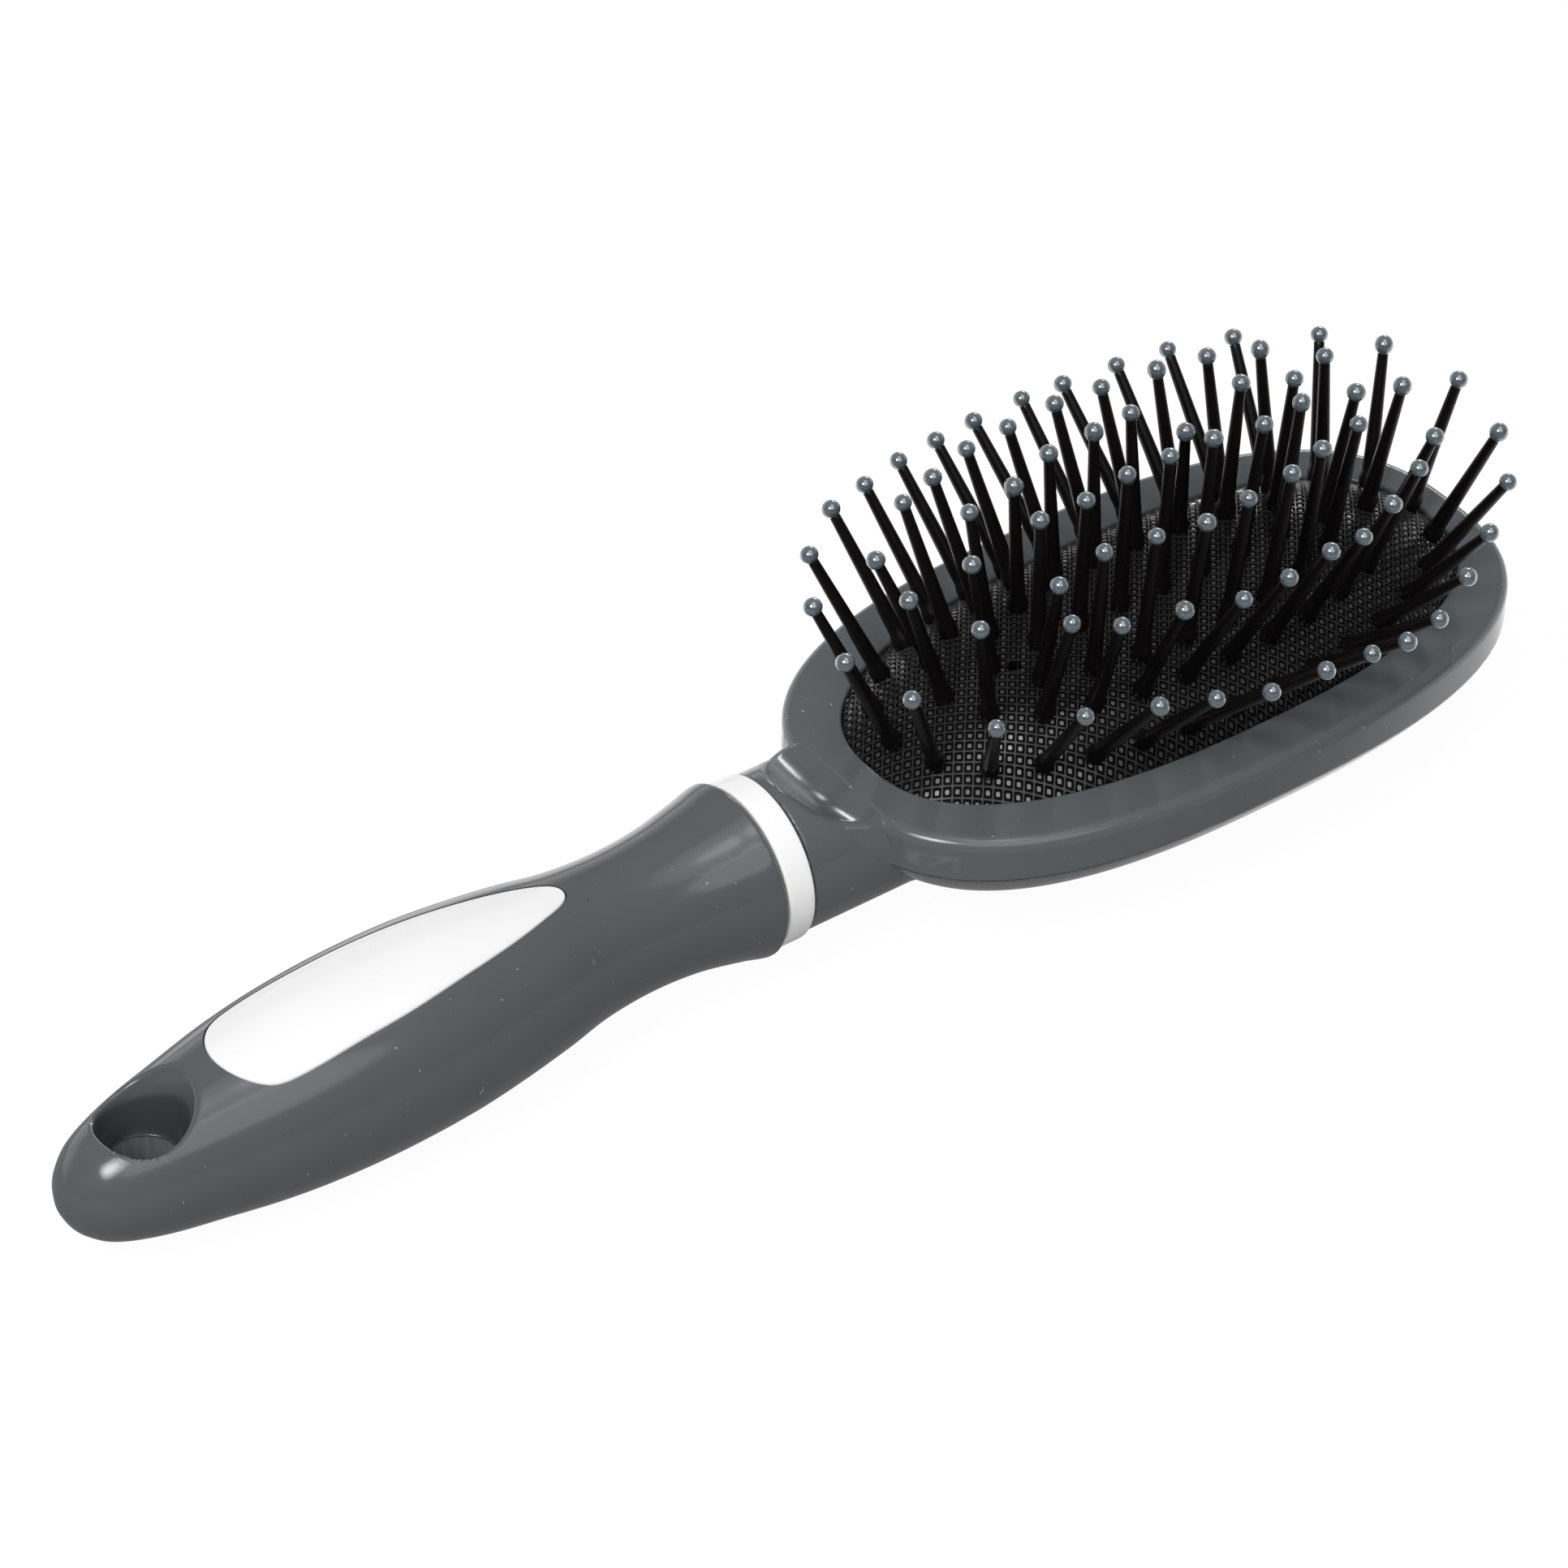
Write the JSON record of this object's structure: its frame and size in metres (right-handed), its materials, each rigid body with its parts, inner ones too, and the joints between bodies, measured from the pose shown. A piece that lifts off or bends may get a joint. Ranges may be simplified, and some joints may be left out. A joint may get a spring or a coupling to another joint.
{
  "type": "pocket styling brush",
  "caption": "Oval hairbrush with ball-tipped pins in a rubber air cushion, a round neck, a pale collar and a waisted grip with a hanging hole.",
  "frame": {"origin": "under the middle of the whole brush, on the surface that it lies on with its pins up", "axes": "+X along the handle towards the head's tip, +Z out of the pins, +Y across the head"},
  "size_m": [0.1714, 0.0522, 0.0394],
  "materials": {
    "slate_gloss": "gloss slate grey moulded plastic",
    "white_gloss": "gloss white moulded plastic",
    "black_rubber": "black rubber with a fine square waffle texture",
    "black_nylon": "black nylon, satin",
    "tip_grey": "gloss blue-grey ball tips dipped on the pins"
  },
  "bodies": {
    "root": {"head_shell": "slate_gloss", "front_frame": "slate_gloss", "pad_seat_ring": "black_nylon", "cushion_pad": "black_rubber", "collar_ring": "white_gloss", "handle_grip": "slate_gloss", "handle_insert": "white_gloss"},
    "centre_row": {"centre_pins": "black_nylon"},
    "third_ring": {"third_pins_1": "black_nylon", "third_pins_2": "black_nylon", "third_pins_3": "black_nylon", "third_pins_4": "black_nylon", "third_pins_5": "black_nylon", "third_pins_6": "black_nylon"},
    "second_ring": {"second_pins_1": "black_nylon", "second_pins_2": "black_nylon", "second_pins_3": "black_nylon", "second_pins_4": "black_nylon", "second_pins_5": "black_nylon", "second_pins_6": "black_nylon"},
    "outer_ring": {"outer_pins_1": "black_nylon", "outer_pins_2": "black_nylon", "outer_pins_3": "black_nylon", "outer_pins_4": "black_nylon", "outer_pins_5": "black_nylon", "outer_pins_6": "black_nylon"}
  },
  "joints": [
    {"name": "cushion_press", "type": "slide", "parent": "root", "child": "centre_row", "axis": [0, 0, -1], "range_m": [0, 0.003], "stiffness_N_per_m": 600, "deforming": ["cushion_pad"]},
    {"name": "third_ring_press", "type": "slide", "parent": "root", "child": "third_ring", "axis": [0, 0, -1], "range_m": [0, 0.00284], "stiffness_N_per_m": 600},
    {"name": "second_ring_press", "type": "slide", "parent": "root", "child": "second_ring", "axis": [0, 0, -1], "range_m": [0, 0.00232], "stiffness_N_per_m": 600},
    {"name": "outer_ring_press", "type": "slide", "parent": "root", "child": "outer_ring", "axis": [0, 0, -1], "range_m": [0, 0.00126], "stiffness_N_per_m": 600}
  ],
  "couplings": [
    {"joint": "third_ring_press", "follows": "cushion_press", "ratio": 0.9436},
    {"joint": "second_ring_press", "follows": "cushion_press", "ratio": 0.7698},
    {"joint": "outer_ring_press", "follows": "cushion_press", "ratio": 0.419}
  ]
}
